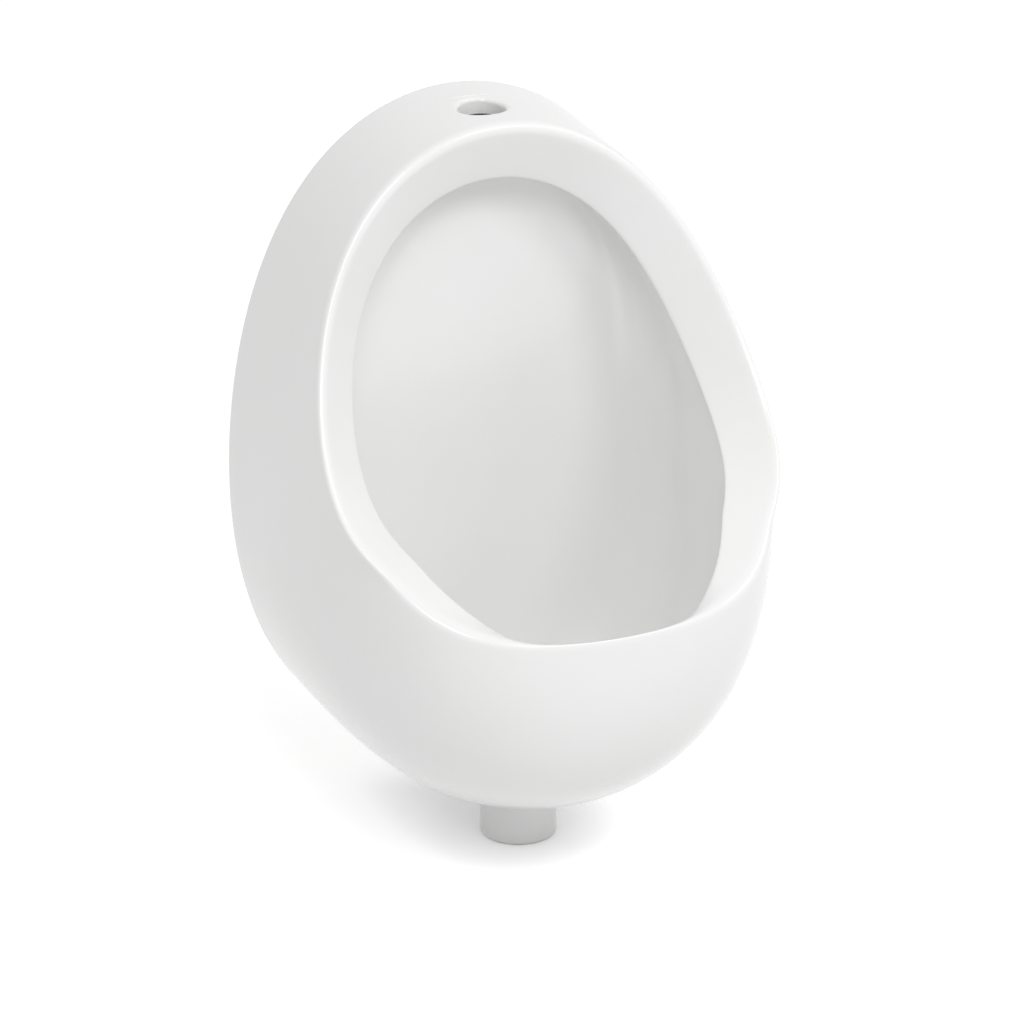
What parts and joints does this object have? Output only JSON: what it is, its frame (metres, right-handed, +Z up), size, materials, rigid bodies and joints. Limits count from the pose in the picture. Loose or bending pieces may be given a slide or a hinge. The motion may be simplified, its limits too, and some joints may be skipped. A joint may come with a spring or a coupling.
{
  "type": "wall hung urinal",
  "caption": "Small egg-shaped wall hung urinal in glazed vitreous china with a sloping collar rim, top flush inlet, round outlet spigot, lift-out strainer and hook hangers.",
  "frame": {"origin": "on the wall plane, at the centre of the four wall fixings", "axes": "+Z up, +Y into the wall, -Y towards the user, +X to the user's right when facing the wall"},
  "size_m": [0.314, 0.3194, 0.479],
  "materials": {
    "glazed_china": "glossy white glaze, unglazed where it meets the wall",
    "epdm_rubber": "matt black moulded rubber",
    "stainless_steel": "satin stainless steel",
    "zinc_plated_steel": "bright zinc plate"
  },
  "bodies": {
    "wall_hooks": {"hanger_left": "zinc_plated_steel", "hanger_right": "zinc_plated_steel", "hanger_pad_left": "epdm_rubber", "hanger_pad_right": "epdm_rubber", "wall_anchor_1": "zinc_plated_steel", "anchor_clip_1": "stainless_steel", "anchor_washer_1": "zinc_plated_steel", "anchor_nut_1": "zinc_plated_steel", "wall_anchor_2": "zinc_plated_steel", "anchor_clip_2": "stainless_steel", "anchor_washer_2": "zinc_plated_steel", "anchor_nut_2": "zinc_plated_steel", "wall_anchor_3": "zinc_plated_steel", "anchor_clip_3": "stainless_steel", "anchor_washer_3": "zinc_plated_steel", "anchor_nut_3": "zinc_plated_steel", "wall_anchor_4": "zinc_plated_steel", "anchor_clip_4": "stainless_steel", "anchor_washer_4": "zinc_plated_steel", "anchor_nut_4": "zinc_plated_steel"},
    "china": {"ceramic_body": "glazed_china", "inlet_seal": "epdm_rubber", "strainer_gasket": "epdm_rubber"},
    "strainer": {"strainer_dome": "stainless_steel"}
  },
  "joints": [
    {"name": "hang_lift", "type": "slide", "parent": "wall_hooks", "child": "china", "axis": [0, 0, 1], "range_m": [0, 0.015]},
    {"name": "strainer_lift", "type": "slide", "parent": "china", "child": "strainer", "axis": [0, 0, 1], "range_m": [0, 0.03]}
  ]
}
